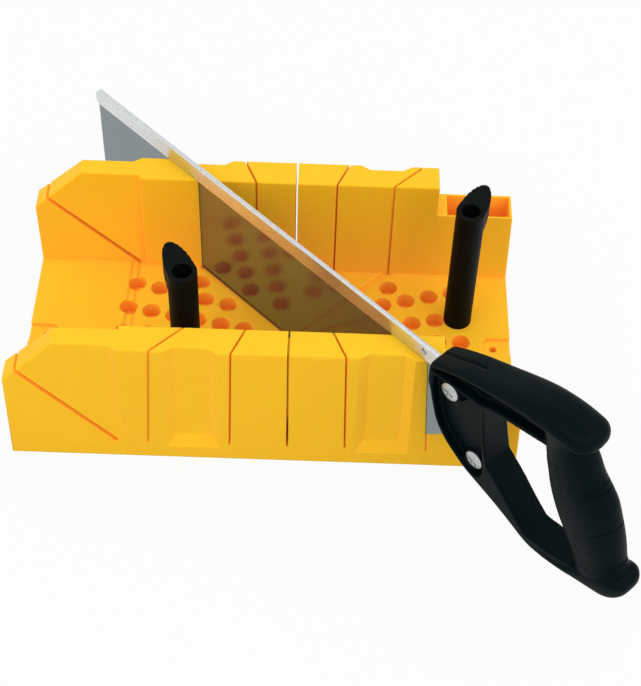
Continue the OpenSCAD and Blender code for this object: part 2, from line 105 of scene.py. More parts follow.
def srgb(code: str) -> Colour:
    """Turns an sRGB hex colour into linear values.

    Args:
        code: Colour as "#RRGGBB".

    Returns:
        Linear red, green, blue and an alpha of 1.
    """
    parts = [int(code[i:i + 2], 16) / 255 for i in (1, 3, 5)]
    linear = [c / 12.92 if c <= 0.04045 else ((c + 0.055) / 1.055) ** 2.4 for c in parts]
    return (*linear, 1.0)


def add(tree: Tree, kind: str, settings: dict | None = None, inputs: dict | None = None) -> bpy.types.Node:
    """Adds a node with its settings, values and links.

    Args:
        tree: Node tree that the node goes into.
        kind: Node type, such as "ShaderNodeTexNoise".
        settings: Properties of the node by name.
        inputs: Socket name or index to a value or to the output socket that feeds it.

    Returns:
        The new node.
    """
    node = tree.nodes.new(kind)
    for name, value in (settings or {}).items():
        setattr(node, name, value)
    for name, value in (inputs or {}).items():
        if isinstance(value, Socket):
            tree.links.new(value, node.inputs[name])
        else:
            node.inputs[name].default_value = value
    return node


def new_material(name: str) -> tuple[Material, Tree, Socket]:
    """Makes an empty node material.

    Args:
        name: The material's name.

    Returns:
        The material, its node tree and the surface socket of its output.
    """
    material = bpy.data.materials.new(name)
    material.use_nodes = True
    tree = material.node_tree
    tree.nodes.clear()
    output = add(tree, "ShaderNodeOutputMaterial")
    return material, tree, output.inputs["Surface"]


def own_place(tree: Tree) -> Socket:
    """Adds a point's place in the piece's own metres.

    Args:
        tree: Node tree that it goes into.

    Returns:
        Socket of the place.
    """
    return add(tree, "ShaderNodeTexCoord").outputs["Object"]


def per_metre(size_mm: float) -> float:
    """Works out a texture's scale from the size of its features.

    Args:
        size_mm: Width of a feature.

    Returns:
        Features in a metre.
    """
    return 1 / (size_mm * MM)


def noise(tree: Tree, size_mm: float, detail: float, **more: float) -> Socket:
    """Adds a cloudy pattern.

    Args:
        tree: Node tree that it goes into.
        size_mm: Width of its features.
        detail: Octaves of finer pattern in it.
        more: Further inputs of the node by name.

    Returns:
        Socket of the pattern, from 0 to 1.
    """
    inputs = {"Vector": own_place(tree), "Scale": per_metre(size_mm), "Detail": detail, **more}
    return add(tree, "ShaderNodeTexNoise", None, inputs).outputs["Fac"]


def blend(tree: Tree, share: Socket, first: Socket | Colour, second: Socket | Colour) -> Socket:
    """Mixes two colours.

    Args:
        tree: Node tree that the mix goes into.
        share: Socket of the second colour's share.
        first: Colour where the share is 0.
        second: Colour where the share is 1.

    Returns:
        Socket of the mixed colour.
    """
    # A mix node's colours are its inputs 6 and 7 and its output 2
    inputs = {"Factor": share, 6: first, 7: second}
    return add(tree, "ShaderNodeMix", {"data_type": "RGBA"}, inputs).outputs[2]


def remap(tree: Tree, value: Socket, ends: Range, limits: Range = (0.0, 1.0),
          shape: str = "LINEAR") -> Socket:
    """Maps one range of a value to another.

    Args:
        tree: Node tree that the map goes into.
        value: Socket of the value.
        ends: What the two limits become.
        limits: Where the range starts and ends.
        shape: How the way between them runs.

    Returns:
        Socket of the mapped value, which stays between the ends.
    """
    inputs = {"Value": value, "From Min": limits[0], "From Max": limits[1],
              "To Min": ends[0], "To Max": ends[1]}
    return add(tree, "ShaderNodeMapRange", {"interpolation_type": shape}, inputs).outputs["Result"]


def reckon(tree: Tree, operation: str, first: Socket | float, second: Socket | float) -> Socket:
    """Adds a calculation with two values.

    Args:
        tree: Node tree that it goes into.
        operation: The node's name for what is done, such as "MULTIPLY".
        first: First value.
        second: Second value.

    Returns:
        Socket of the result.
    """
    return add(tree, "ShaderNodeMath", {"operation": operation}, {0: first, 1: second}).outputs[0]


def bumped(tree: Tree, height: Socket, strength: float, depth_mm: float,
           normal: Socket | None = None) -> Socket:
    """Adds fine relief.

    Args:
        tree: Node tree that it goes into.
        height: Socket of the relief's pattern.
        strength: How much of the relief shows, from 0 to 1.
        depth_mm: Its depth.
        normal: Socket of the surface that it lies on, if that isn't the mesh's own.

    Returns:
        Socket of the surface's direction.
    """
    inputs = {"Height": height, "Strength": strength, "Distance": depth_mm * MM}
    if normal is not None:
        inputs["Normal"] = normal
    return add(tree, "ShaderNodeBump", None, inputs).outputs["Normal"]


def soft_edges(tree: Tree, radius_mm: float) -> Socket:
    """Adds small roundings that catch light along sharp edges.

    Args:
        tree: Node tree that they go into.
        radius_mm: Their radius.

    Returns:
        Socket of the surface's direction.
    """
    return add(tree, "ShaderNodeBevel", {"samples": 4}, {"Radius": radius_mm * MM}).outputs["Normal"]


def openness(tree: Tree, reach_mm: float, samples: int) -> Socket:
    """Adds a measure of how open a place on a piece is.

    Args:
        tree: Node tree that it goes into.
        reach_mm: How far off the piece's own faces still close it in.
        samples: Rays that look around.

    Returns:
        Socket of the measure, from 0 for closed to 1 for open.
    """
    settings = {"samples": samples, "only_local": True}
    return add(tree, "ShaderNodeAmbientOcclusion", settings, {"Distance": reach_mm * MM}).outputs["AO"]


def coat(tree: Tree, surface: Socket, inputs: dict) -> None:
    """Adds the surface shader and links it to the output.

    Args:
        tree: Node tree that it goes into.
        surface: Surface socket of the output.
        inputs: The shader's inputs by name.
    """
    shader = add(tree, "ShaderNodeBsdfPrincipled", None, inputs)
    tree.links.new(shader.outputs["BSDF"], surface)


def direct_rays(tree: Tree) -> Socket:
    """Adds nodes that tell camera, mirror and glass rays from the rest.

    Args:
        tree: Node tree that they go into.

    Returns:
        A socket that is 1 for those rays and 0 for the others.
    """
    path = add(tree, "ShaderNodeLightPath").outputs
    mirror = reckon(tree, "MAXIMUM", path["Is Camera Ray"], path["Is Glossy Ray"])
    return reckon(tree, "MAXIMUM", mirror, path["Is Transmission Ray"])


@dataclass(frozen=True)
class MouldedYellowAbs:
    """Injection moulded ABS: an even satin skin, with painted shade that turns it redder in recesses and
    painted bounced light in half open places.
    """

    colour: str = "#F8C122"
    flow_colour: str = "#F5BB20"
    flow_mm: float = 60
    roughness: Range = (0.41, 0.53)
    gloss: float = 0.1
    ior: float = 1.53
    grain_mm: float = 0.9
    grain_strength: float = 0.12
    grain_depth_mm: float = 0.4
    # Painted shade: how open a place is within these reaches sets how far it takes the redder colour that
    # stands in for shade and bounced light in recesses
    painted_recess_colour: str = "#FFA62C"
    painted_recess_mm: float = 100
    painted_recess_open: Range = (0.0, 0.6)
    # Painted shade in grooves and inner corners: its strength, its reach and the openness that it spans
    crease: float = 0.5
    crease_shade_mm: float = 6
    crease_shade_open: Range = (0.4, 0.95)
    # Painted bounced light: colour and strength of an emission in half open places
    painted_bounce_colour: str = "#FFA050"
    painted_bounce: float = 0.5
    bleed: float = 0.35
    bleed_mm: float = 4
    bleed_by_colour: tuple[float, float, float] = (1.0, 0.4, 0.1)

    def make(self) -> Material:
        """Builds the material.

        Returns:
            The material.
        """
        material, tree, surface = new_material("moulded yellow ABS")
        # The melt's flow leaves faint cloudy bands
        flow = noise(tree, self.flow_mm, detail=3.0, Distortion=0.6)
        skin = blend(tree, flow, srgb(self.colour), srgb(self.flow_colour))
        # Painted shade: slots, holes and other closed places take a redder colour that stands in for light
        # bouncing inside them
        is_open = openness(tree, self.painted_recess_mm, samples=8)
        depth = remap(tree, is_open, (1.0, 0.0), self.painted_recess_open, "SMOOTHSTEP")
        # The same painted shade, on a small scale, in grooves and inner corners
        corner_open = openness(tree, self.crease_shade_mm, samples=4)
        crease = remap(tree, corner_open, (self.crease, 0.0), self.crease_shade_open)
        # Painted shade: the larger of the two shares sets how far the colour turns redder
        painted_shade_share = reckon(tree, "MAXIMUM", depth, crease)
        colour = blend(tree, painted_shade_share, skin, srgb(self.painted_recess_colour))
        # Painted bounced light: an emission stands in for its last bounces, which the renderer leaves out,
        # and is brightest in half open places
        closed = reckon(tree, "SUBTRACT", 1.0, is_open)
        half_open = reckon(tree, "MULTIPLY", closed, is_open)
        painted_glow = reckon(tree, "MULTIPLY", half_open, self.painted_bounce)
        # Spark eroded mould grain, drawn coarser than the real one so that it shows
        grain = noise(tree, self.grain_mm, detail=2.0)
        coat(tree, surface, {
            "Base Color": colour, "Roughness": remap(tree, grain, self.roughness), "IOR": self.ior,
            "Specular IOR Level": self.gloss, "Subsurface Weight": self.bleed,
            "Subsurface Radius": self.bleed_by_colour, "Subsurface Scale": self.bleed_mm * MM,
            "Normal": bumped(tree, grain, self.grain_strength, self.grain_depth_mm),
            # The emission here is painted bounced light
            "Emission Color": srgb(self.painted_bounce_colour), "Emission Strength": painted_glow})
        return material


@dataclass(frozen=True)
class MouldedBlackPlastic:
    """Injection moulded black plastic: a soft satin sheen over a fine mould grain."""

    name: str = "moulded black polypropylene"
    colour: str = "#010B0C"
    worn_colour: str = "#041112"
    roughness: Range = (0.36, 0.5)
    gloss: float = 0.045
    ior: float = 1.49
    cloud_mm: float = 26
    grain_mm: float = 0.7
    grain_strength: float = 0.1
    grain_depth_mm: float = 0.3
    edge_mm: float = 0.4

    def make(self) -> Material:
        """Builds the material.

        Returns:
            The material.
        """
        material, tree, surface = new_material(self.name)
        cloud = noise(tree, self.cloud_mm, detail=4.0, Roughness=0.6)
        # Mould grain, drawn coarser than the real one so that it shows
        grain = add(tree, "ShaderNodeTexVoronoi", None, {
            "Vector": own_place(tree), "Scale": per_metre(self.grain_mm)}).outputs["Distance"]
        edges = soft_edges(tree, self.edge_mm)
        coat(tree, surface, {
            "Base Color": blend(tree, cloud, srgb(self.colour), srgb(self.worn_colour)),
            "Roughness": remap(tree, cloud, self.roughness), "IOR": self.ior,
            "Specular IOR Level": self.gloss,
            "Normal": bumped(tree, grain, self.grain_strength, self.grain_depth_mm, edges)})
        return material


@dataclass(frozen=True)
class GroundBladeSteel:
    """Rolled and ground spring steel: fine lines along the blade stretch its reflections."""

    colour: str = "#848E90"
    streak_colour: str = "#767F82"
    roughness: Range = (0.08, 0.19)
    metal: float = 0.88
    stretch: float = 0.3
    line_mm: float = 0.5
    line_length_mm: float = 40
    line_strength: float = 0.05
    line_depth_mm: float = 0.1

    def make(self) -> Material:
        """Builds the material.

        Returns:
            The material.
        """
        material, tree, surface = new_material("ground spring steel")
        width = self.line_mm * MM
        along = add(tree, "ShaderNodeMapping", {"vector_type": "TEXTURE"}, {
            "Vector": own_place(tree), "Rotation": (0, 0, SAW_TURN),
            "Scale": (self.line_length_mm * MM, width, width)}).outputs["Vector"]
        lines = add(tree, "ShaderNodeTexNoise", None, {
            "Vector": along, "Scale": 1.0, "Detail": 3.0}).outputs["Fac"]
        coat(tree, surface, {
            "Base Color": blend(tree, lines, srgb(self.colour), srgb(self.streak_colour)),
            "Metallic": self.metal, "Roughness": remap(tree, lines, self.roughness),
            "Anisotropic": self.stretch,
            "Normal": bumped(tree, lines, self.line_strength, self.line_depth_mm)})
        return material


@dataclass(frozen=True)
class GalvanisedSteel:
    """Folded galvanised sheet: pale grey zinc with a fine dark speckle."""

    colour: str = "#DDE0E0"
    speck_colour: str = "#9EA4A4"
    roughness: Range = (0.28, 0.48)
    metal: float = 0.94
    speck_mm: float = 1.1
    speck_edge: Range = (0.52, 0.7)
    speck_strength: float = 0.12
    speck_depth_mm: float = 0.2
    edge_mm: float = 0.4

    def make(self) -> Material:
        """Builds the material.

        Returns:
            The material.
        """
        material, tree, surface = new_material("galvanised steel sheet")
        specks = noise(tree, self.speck_mm, detail=4.0, Roughness=0.7)
        mask = remap(tree, specks, (0.0, 1.0), self.speck_edge)
        edges = soft_edges(tree, self.edge_mm)
        coat(tree, surface, {
            "Base Color": blend(tree, mask, srgb(self.colour), srgb(self.speck_colour)),
            "Metallic": self.metal, "Roughness": remap(tree, mask, self.roughness),
            "Normal": bumped(tree, specks, self.speck_strength, self.speck_depth_mm, edges)})
        return material


@dataclass(frozen=True)
class ZincPlate:
    """Bright zinc plating on turned steel: nearly white, with a soft gloss."""

    colour: str = "#CACCCC"
    dull_colour: str = "#ACB0B1"
    roughness: Range = (0.32, 0.52)
    cloud_mm: float = 1.6
    edge_mm: float = 0.3

    def make(self) -> Material:
        """Builds the material.

        Returns:
            The material.
        """
        material, tree, surface = new_material("bright zinc plate")
        cloud = noise(tree, self.cloud_mm, detail=3.0)
        coat(tree, surface, {
            "Base Color": blend(tree, cloud, srgb(self.colour), srgb(self.dull_colour)),
            "Metallic": 1.0, "Roughness": remap(tree, cloud, self.roughness),
            "Normal": soft_edges(tree, self.edge_mm)})
        return material


@dataclass(frozen=True)
class PaperFloor:
    """Studio paper sweep: matt white that keeps the object's soft shadow."""

    colour: str = "#C6C6C6"
    lift: float = 0.94
    fibre_mm: float = 3
    fibre_strength: float = 0.02
    fibre_depth_mm: float = 0.2

    def make(self) -> Material:
        """Builds the material, which the camera and mirror rays see nearer to white.

        Returns:
            The material.
        """
        material, tree, surface = new_material("white paper sweep")
        fibre = noise(tree, self.fibre_mm, detail=3.0)
        paper = add(tree, "ShaderNodeBsdfDiffuse", None, {
            "Color": srgb(self.colour),
            "Normal": bumped(tree, fibre, self.fibre_strength, self.fibre_depth_mm)})
        white = add(tree, "ShaderNodeEmission", None, {"Color": WHITE, "Strength": 1.0})
        mix = add(tree, "ShaderNodeMixShader", None, {
            0: reckon(tree, "MULTIPLY", direct_rays(tree), self.lift),
            1: paper.outputs[0], 2: white.outputs[0]})
        tree.links.new(mix.outputs[0], surface)
        return material


def rounded(corners: Sequence[Corner], steps: int = 4, most: float = 0.45) -> list[Point]:
    """Rounds the corners of a closed outline.

    Args:
        corners: Place of each corner, and how far from it its rounding starts.
        steps: Straight pieces in a rounding.
        most: Largest share of a side that one rounding takes.

    Returns:
        The rounded outline.
    """
    outline = []
    for i, (u, w, reach) in enumerate(corners):
        corner = Vector((u, w))
        ends = []
        for beside in (corners[i - 1], corners[(i + 1) % len(corners)]):
            side = Vector(beside[:2]) - corner
            ends.append(corner + side.normalized() * min(reach, most * side.length))
        for step in range(steps + 1 if reach else 1):
            t = step / steps
            outline.append(tuple(ends[0] * (1 - t) ** 2 + corner * 2 * t * (1 - t) + ends[1] * t ** 2))
    return outline


def fuller(point: Vector, fullness: float) -> Vector:
    """Swells a point of the unit circle out to a superellipse.

    Args:
        point: Point of the unit circle.
        fullness: Exponent of the superellipse, where 2 is the circle itself.

    Returns:
        The swollen point.
    """
    return Vector([math.copysign(abs(c) ** (2 / fullness), c) for c in point.xy] + [0])


def along_curve(stations: Sequence[Sequence[float]], count: int) -> list[list[float]]:
    """Fills in a smooth run between given stations.

    Args:
        stations: Rows of values, evenly read as knots of a Catmull-Rom spline.
        count: Steps between two stations.

    Returns:
        Rows of values along the spline, both ends included.
    """
    rows = []
    last = len(stations) - 1
    for i in range(last):
        before, a, b, after = (stations[max(0, min(last, i + k))] for k in (-1, 0, 1, 2))
        for step in range(count):
            t = step / count
            rows.append([0.5 * (2 * q + (r - p) * t + (2 * p - 5 * q + 4 * r - s) * t ** 2
                                + (3 * q - p - 3 * r + s) * t ** 3)
                         for p, q, r, s in zip(before, a, b, after)])
    rows.append(list(stations[last]))
    return rows


def slab(bm: Mesh, outline: Sequence[Point], near: float, far: float) -> None:
    """Adds a flat plate with its outline in the saw's plane.

    Args:
        bm: Mesh that the plate goes into.
        outline: Corners in the saw's plane.
        near: Place of its near face across the saw.
        far: Place of its far face across the saw.
    """
    face = bm.faces.new([bm.verts.new((u, near, w)) for u, w in outline])
    grown = bmesh.ops.extrude_face_region(bm, geom=[face])["geom"]
    moved = [v for v in grown if isinstance(v, bmesh.types.BMVert)]
    bmesh.ops.translate(bm, verts=moved, vec=(0, far - near, 0))


def disc(bm: Mesh, at: Point, across: float, radius: float, thick: float) -> None:
    """Adds a round disc that is parallel to the saw's plane.

    Args:
        bm: Mesh that the disc goes into.
        at: Its middle in the saw's plane.
        across: Place of its middle across the saw.
        radius: Its radius.
        thick: Its thickness.
    """
    place = Matrix.Translation((at[0], across, at[1])) @ Matrix.Rotation(math.pi / 2, 4, "X")
    bmesh.ops.create_cone(bm, cap_ends=True, segments=DISC_SIDES, radius1=radius, radius2=radius,
                          depth=thick, matrix=place)


def upright_ring(u: float, w: float, half: float, tall: float) -> Matrix:
    """Works out the place of a ring that stands across the saw.

    Args:
        u: Its place along the saw.
        w: Height of its middle.
        half: Its half width.
        tall: Its half height.

    Returns:
        Matrix from a unit circle in XY, with X across the saw and Y up.
    """
    return Matrix(((0, 0, 1, u), (half, 0, 0, 0), (0, tall, 0, w), (0, 0, 0, 1)))


def loft(bm: Mesh, places: Iterable[Matrix], segments: int,
         reshape: Callable[[Vector, int], Vector] | None = None) -> None:
    """Adds a closed skin over a row of rings.

    Args:
        bm: Mesh that the skin goes into.
        places: Matrix of each ring, from a unit circle in XY.
        segments: Corners of a ring.
        reshape: Turns a point of the unit circle into one of that ring's outline.
    """
    rings = []
    for number, place in enumerate(places):
        made = bmesh.ops.create_circle(bm, cap_ends=False, segments=segments, radius=1)["verts"]
        for v in made:
            v.co = place @ (reshape(v.co, number) if reshape else v.co)
        rings.append(made)
    edges = [{e for v in ring for e in v.link_edges} for ring in rings]
    for first, second in zip(edges, edges[1:]):
        bmesh.ops.bridge_loops(bm, edges=[*first, *second])
    for ring in (rings[0], rings[-1]):
        bmesh.ops.contextual_create(bm, geom=ring)


def new_object(name: str, bm: Mesh) -> Solid:
    """Makes an object of a mesh, with its faces turned outwards.

    Args:
        name: The object's name.
        bm: Its mesh, which is freed.

    Returns:
        The new object, linked to the scene.
    """
    bmesh.ops.recalc_face_normals(bm, faces=bm.faces)
    mesh = bpy.data.meshes.new(name)
    bm.to_mesh(mesh)
    bm.free()
    made = bpy.data.objects.new(name, mesh)
    bpy.context.scene.collection.objects.link(made)
    return made


def apply_modifiers(made: Solid) -> None:
    """Bakes an object's modifiers into its mesh.

    Args:
        made: Object whose modifiers are applied and removed.
    """
    graph = bpy.context.evaluated_depsgraph_get()
    mesh = bpy.data.meshes.new_from_object(made.evaluated_get(graph))
    made.modifiers.clear()
    old = made.data
    made.data = mesh
    bpy.data.meshes.remove(old)


def merged_copy(node: str) -> Mesh:
    """Copies a CAD node's mesh and closes its split corners.

    Args:
        node: The node's name.

    Returns:
        The closed copy.
    """
    bm = bmesh.new()
    bm.from_mesh(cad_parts[node].data)
    bmesh.ops.remove_doubles(bm, verts=bm.verts, dist=WELD_MM * MM)
    return bm


def smooth_round(made: Solid) -> None:
    """Shades round faces smooth and keeps flat ones flat, with large faces split into triangles.

    Args:
        made: Object whose roundings carry the material number ROUNDED, which they lose.
    """
    bm = bmesh.new()
    bm.from_mesh(made.data)
    bmesh.ops.triangulate(bm, faces=[face for face in bm.faces if len(face.verts) > 4],
                          quad_method="BEAUTY", ngon_method="BEAUTY")
    for edge in bm.edges:
        beside = [face.material_index for face in edge.link_faces]
        slight = edge.calc_face_angle(0) < SLIGHT_BEND
        edge.smooth = beside == [ROUNDED, ROUNDED] or slight and beside == [PLAIN, PLAIN]
    for face in bm.faces:
        face.smooth = True
        face.material_index = PLAIN
    bm.to_mesh(made.data)
    bm.free()


def rounded_copy(node: str, name: str, radius: float,
                 weigh: Callable[[bmesh.types.BMEdge], float]) -> Solid:
    """Copies a CAD node and rounds its outer edges, as a mould's own edges do.

    Args:
        node: The node's name.
        name: The copy's name.
        radius: Radius of a fully rounded edge in millimetres.
        weigh: Share of that radius for a sharp outward edge.

    Returns:
        The copy.
    """
    bm = merged_copy(node)
    bmesh.ops.dissolve_limit(bm, angle_limit=FLAT_BEND, verts=bm.verts, edges=bm.edges)
    shares = bm.edges.layers.float.new("bevel_weight_edge")
    for edge in bm.edges:
        if len(edge.link_faces) == 2 and edge.calc_face_angle_signed() > SHARP_BEND:
            edge[shares] = weigh(edge)
    made = new_object(name, bm)
    for _ in (PLAIN, ROUNDED):
        made.data.materials.append(None)
    soft = made.modifiers.new("edges", "BEVEL")
    soft.limit_method = "WEIGHT"
    soft.width = radius * MM
    soft.segments = ROUNDING_FACES
    soft.material = ROUNDED
    soft.use_clamp_overlap = False
    soft.loop_slide = False
    apply_modifiers(made)
    smooth_round(made)
    return made


def combine(made: Solid, other: Solid, way: Joining) -> None:
    """Adds a closed solid to another or cuts it away, and removes it.

    Args:
        made: Solid that is changed.
        other: Solid that is used up.
        way: How they are worked together.
    """
    working = made.modifiers.new("combine", "BOOLEAN")
    working.object = other
    working.operation = way.value
    working.solver = "MANIFOLD"
    apply_modifiers(made)
    bpy.data.objects.remove(other)


def settle(made: Solid, material: Material, body: Body,
           node: str) -> None:
    """Dresses a finished piece and ties it to the frame.

    Args:
        made: The piece.
        material: Its finish.
        body: Body that it rides on.
        node: CAD node that it stands for.
    """
    made.data.materials.clear()
    made.data.materials.append(material)
    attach(made, body.value)
    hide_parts(node)
    LOG.info("%s: %d faces on %s", made.name, len(made.data.polygons), body.value)


def dress(node: str, material: Material) -> None:
    """Gives a CAD node its finish.

    Args:
        node: The node's name.
        material: Its finish.
    """
    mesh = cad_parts[node].data
    mesh.materials.clear()
    mesh.materials.append(material)
    LOG.info("%s: kept from the frame", node)


@dataclass
class Box:
    """Mitre box moulding: its outer edges are rounded, and the saw cuts stay sharp."""

    edge_r: float = 1.1
    rim_share: float = 0.3
    # Edges shorter than this stay sharp, and so do edges below this height, at the bench
    shortest: float = 4
    bench: float = 1
    # Edges up to this height between the walls are the bed's, and those of its groove stay sharp
    bed_top: float = 15.1
    channel_half: float = 64
    groove: Range = (-113, -106)
    # The back wall is a pocket to the right of this
    pocket_left: float = 96
    # Upright edges nearer to the middle than this are the walls' inner steps
    step_reach: float = 70
    upright_share: float = 0.9
    # How near to the origin the side of an upright slot passes, and how well directions agree
    kerf_half: float = 2.5
    match: float = 0.01

    def is_saw_cut(self, face: bmesh.types.BMFace) -> bool:
        """Tells whether a face is the side of a saw slot.

        Args:
            face: Face of the box.

        Returns:
            True for a side of the bevelled cut or of an upright one, which all pass the origin.
        """
        x, y, z = (abs(c) for c in face.normal)
        bevelled = abs(x - z) < self.match and y < self.match
        reach = abs(face.calc_center_median().dot(face.normal)) / MM
        return bevelled or z < self.match and reach < self.kerf_half

    def share(self, edge: bmesh.types.BMEdge) -> float:
        """Share of the full rounding that an outward edge gets.

        Args:
            edge: Edge of the box.

        Returns:
            A share from 0 to 1.
        """
        first, second = (v.co for v in edge.verts)
        middle = (first + second) / 2 / MM
        length = edge.calc_length()
        in_bed = middle.z < self.bed_top and abs(middle.y) < self.channel_half
        in_groove = in_bed and self.groove[0] < middle.x < self.groove[1]
        by_pocket = middle.x > self.pocket_left and middle.y > self.channel_half
        upright = abs(first.z - second.z) > self.upright_share * length
        inner_step = upright and abs(middle.y) < self.step_reach
        if middle.z < self.bench or in_groove or any(self.is_saw_cut(face) for face in edge.link_faces):
            return 0
        if in_bed or by_pocket or inner_step:
            return self.rim_share
        return float(length / MM > self.shortest)

    def build(self, material: Material) -> None:
        """Makes the box and ties it to its body.

        Args:
            material: Its finish.
        """
        made = rounded_copy("mitre_box", "box_moulding", self.edge_r, self.share)
        settle(made, material, Body.BOX, "mitre_box")


@dataclass
class CamPin:
    """Clamping pin: a tube with a thumb lever, whose small roundings its finish draws."""

    node: str
    body: Body

    def build(self, material: Material) -> None:
        """Makes the pin and ties it to its body.

        Args:
            material: Its finish.
        """
        made = new_object(self.node + "_moulding", merged_copy(self.node))
        smooth_round(made)
        settle(made, material, self.body, self.node)


@dataclass
class Handle:
    """Closed saw handle: crowned arm, dished web, strut, dotted grip and butt.

    The outlines are in the saw's plane, from the handle's front edge and a level just below the
    back: u runs along the saw to the rear and w up. Across the saw, near is negative, and a half
    width is measured from the saw's middle plane.
    """

    front: float = 134.46
    foot: float = 96.2
    # Skin: width of its cells, how it is smoothed, and the share of its faces that is kept
    voxel: float = 0.7
    smooth_passes: int = 2
    smooth_share: float = 0.5
    keep_faces: float = 0.6
    # Corners of a lofted ring, and rings from one station of a curve to the next
    ring_sides: int = 64
    station_rings: int = 4
    # Plate with arm, web, strut and foot round the finger gap: u, w and reach of the rounding
    plate: list[Corner] = field(default_factory=lambda: [
        (-5, 0.8, 1), (-5, 14, 0), (3, 18, 0), (18, 25.6, 0), (38, 32, 0), (60, 38, 0), (80, 41, 0),
        (98, 42.5, 0), (98, 27.5, 0), (88, 24.6, 0), (78, 22.6, 8), (58, 19.4, 8),
        (45.5, 16.4, 5), (38.6, 11.3, 3), (41.5, -11.3, 8), (46.8, -33, 1.5), (61.2, -45.6, 6),
        (71.6, -56.6, 4), (82.8, -67, 1.5), (97, -66, 6), (110, -63, 0), (122, -60, 0), (126, -66, 0),
        (118, -71.5, 0), (105.3, -74, 6), (90, -75, 5), (82, -73, 5), (69.6, -66.6, 6), (57, -61, 6),
        (42, -55.4, 6), (29.6, -50.8, 6), (17.4, -42.4, 5), (11.6, -37.8, 5), (4.4, -28.3, 6),
        (0, -15, 6), (-3, -3.5, 3)])
    plate_half: float = 10.8
    # Channel under the crown, dish of the web, raised field in it, and the half widths there
    channel: list[Corner] = field(default_factory=lambda: [
        (-3.2, 12, 1), (17.4, 13.8, 4), (35.7, 14.6, 4), (42, 18.4, 4), (58, 22.2, 6), (78, 25.4, 6),
        (90, 27.2, 6), (120, 32, 0), (120, 60, 0), (-3.2, 60, 0)])
    channel_half: float = 3.8
    dish: list[Corner] = field(default_factory=lambda: [
        (-1.4, 9.8, 1), (17, 12, 4), (35, 12.4, 1), (36.6, 11, 1), (39.5, -11.5, 6), (43.6, -32.5, 4),
        (44.6, -40, 4), (44, -48, 4), (38, -52, 3), (30.4, -49, 3), (18.4, -40.8, 4), (13.2, -36.6, 4),
        (6.2, -27.7, 5), (1.8, -14.6, 5), (-1.2, -3, 3)])
    dish_half: float = 4.8
    plateau: list[Corner] = field(default_factory=lambda: [
        (25, 9.2, 1), (36, 12.4, 0), (40, -6.8, 0), (12.6, -8.6, 2), (18.5, -1.3, 2)])
    plateau_half: float = 7
    # Slit for the blade, which reaches further back below, where the blade's tail sits
    slit: list[Point] = field(default_factory=lambda: [
        (-20, -80), (38, -80), (38, 12), (30, 12), (30, 70), (-20, 70)])
    slit_half: float = 0.65
    # Screws: their places, and the rings round their seats
    screws: list[Point] = field(default_factory=lambda: [(10, 0.8), (35, -42.2)])
    ring_out: float = 7.9
    ring_in: float = 6.9
    ring_half: float = 7.2
    seat_half: float = 6.5
    # Crown: u, height of the ridge, height of its lower edge, half width, fullness of its arch
    crown: list[Row] = field(default_factory=lambda: [
        (-5, 17.3, 13.2, 10.4, 4), (0, 20.6, 16.4, 10.9, 4), (18, 29.2, 25, 11.5, 4),
        (38, 36.6, 31.3, 12.6, 3.5), (60, 45, 37.4, 14, 3), (75, 49.6, 40, 14.8, 2.7),
        (90, 52, 41, 15, 2.5), (101, 51.7, 40.6, 14.8, 2.5)])
    crown_drop: float = 0.7
    # Dome at the crown's end: its reach as a share of the half width, its rings and their last turn
    dome_reach: float = 0.84
    dome_rings: int = 8
    dome_turn: float = 86
    # Grip: distance down its axis, reach to the front and to the back, half thickness
    grip: list[Row] = field(default_factory=lambda: [
        (-66, 12, 17, 14), (-60, 14, 14.5, 12.8), (-54, 16, 13, 12), (-48, 17.6, 13.5, 12),
        (-40, 19.3, 14.7, 12.4), (-30, 21, 15.3, 12.8), (-23, 22.3, 17.2, 13.2),
        (-12, 23.3, 20.1, 13.5), (0, 23, 19.6, 13.5), (12, 21.5, 18.4, 13.3), (22, 19.8, 16.6, 13),
        (31, 20, 14.7, 12.6), (38, 21, 14.5, 12.6), (45, 20, 15, 12)])
    grip_mid: Point = (118.3, -18.3)
    grip_lean: float = 27
    grip_fullness: float = 2.2
    grip_fine: int = 24
    # Butt: u, height of its underside and of its top, half thickness
    butt: list[Row] = field(default_factory=lambda: [
        (80, -72, -70, 9), (88, -75, -69.8, 10.8), (100, -74.8, -69, 11.3), (112, -72.5, -66, 12),
        (124, -70, -58, 12.6), (136, -68, -50, 13), (144, -66, -46, 13), (150, -62.5, -45, 11.5),
        (154, -58, -48, 8), (155.5, -54, -51, 4)])
    butt_fullness: float = 3.2
    # Creases pressed into the grip: place down its axis on the near side and at the back
    creases: list[Point] = field(default_factory=lambda: [
        (-24, -26.5), (-22, -22.5), (4.5, 2.5), (31.8, 30.9)])
    crease_from: float = 6
    crease_r: float = 0.9
    crease_lift: float = 0.15
    crease_steps: int = 40
    crease_sides: int = 10
    # Ends of a crease: their share of its radius, and the steps in which it grows by a full one
    crease_tip: float = 0.25
    crease_taper: float = 6
    # Dots on the finger side: their rows down the grip, and degrees to each side of its front
    dot_pitch: float = 1.5
    dot_r: float = 0.6
    dot_sink: float = 0.3
    dot_rows: Range = (-42, 36)
    dot_spread: float = 84

    def place(self) -> Matrix:
        """Works out where the handle sits.

        Returns:
            Matrix from the handle's own millimetres to the frame's metres.
        """
        turn = Matrix.Rotation(SAW_TURN, 4, "Z")
        return Matrix.Scale(MM, 4) @ turn @ Matrix.Translation((self.front, 0, self.foot))

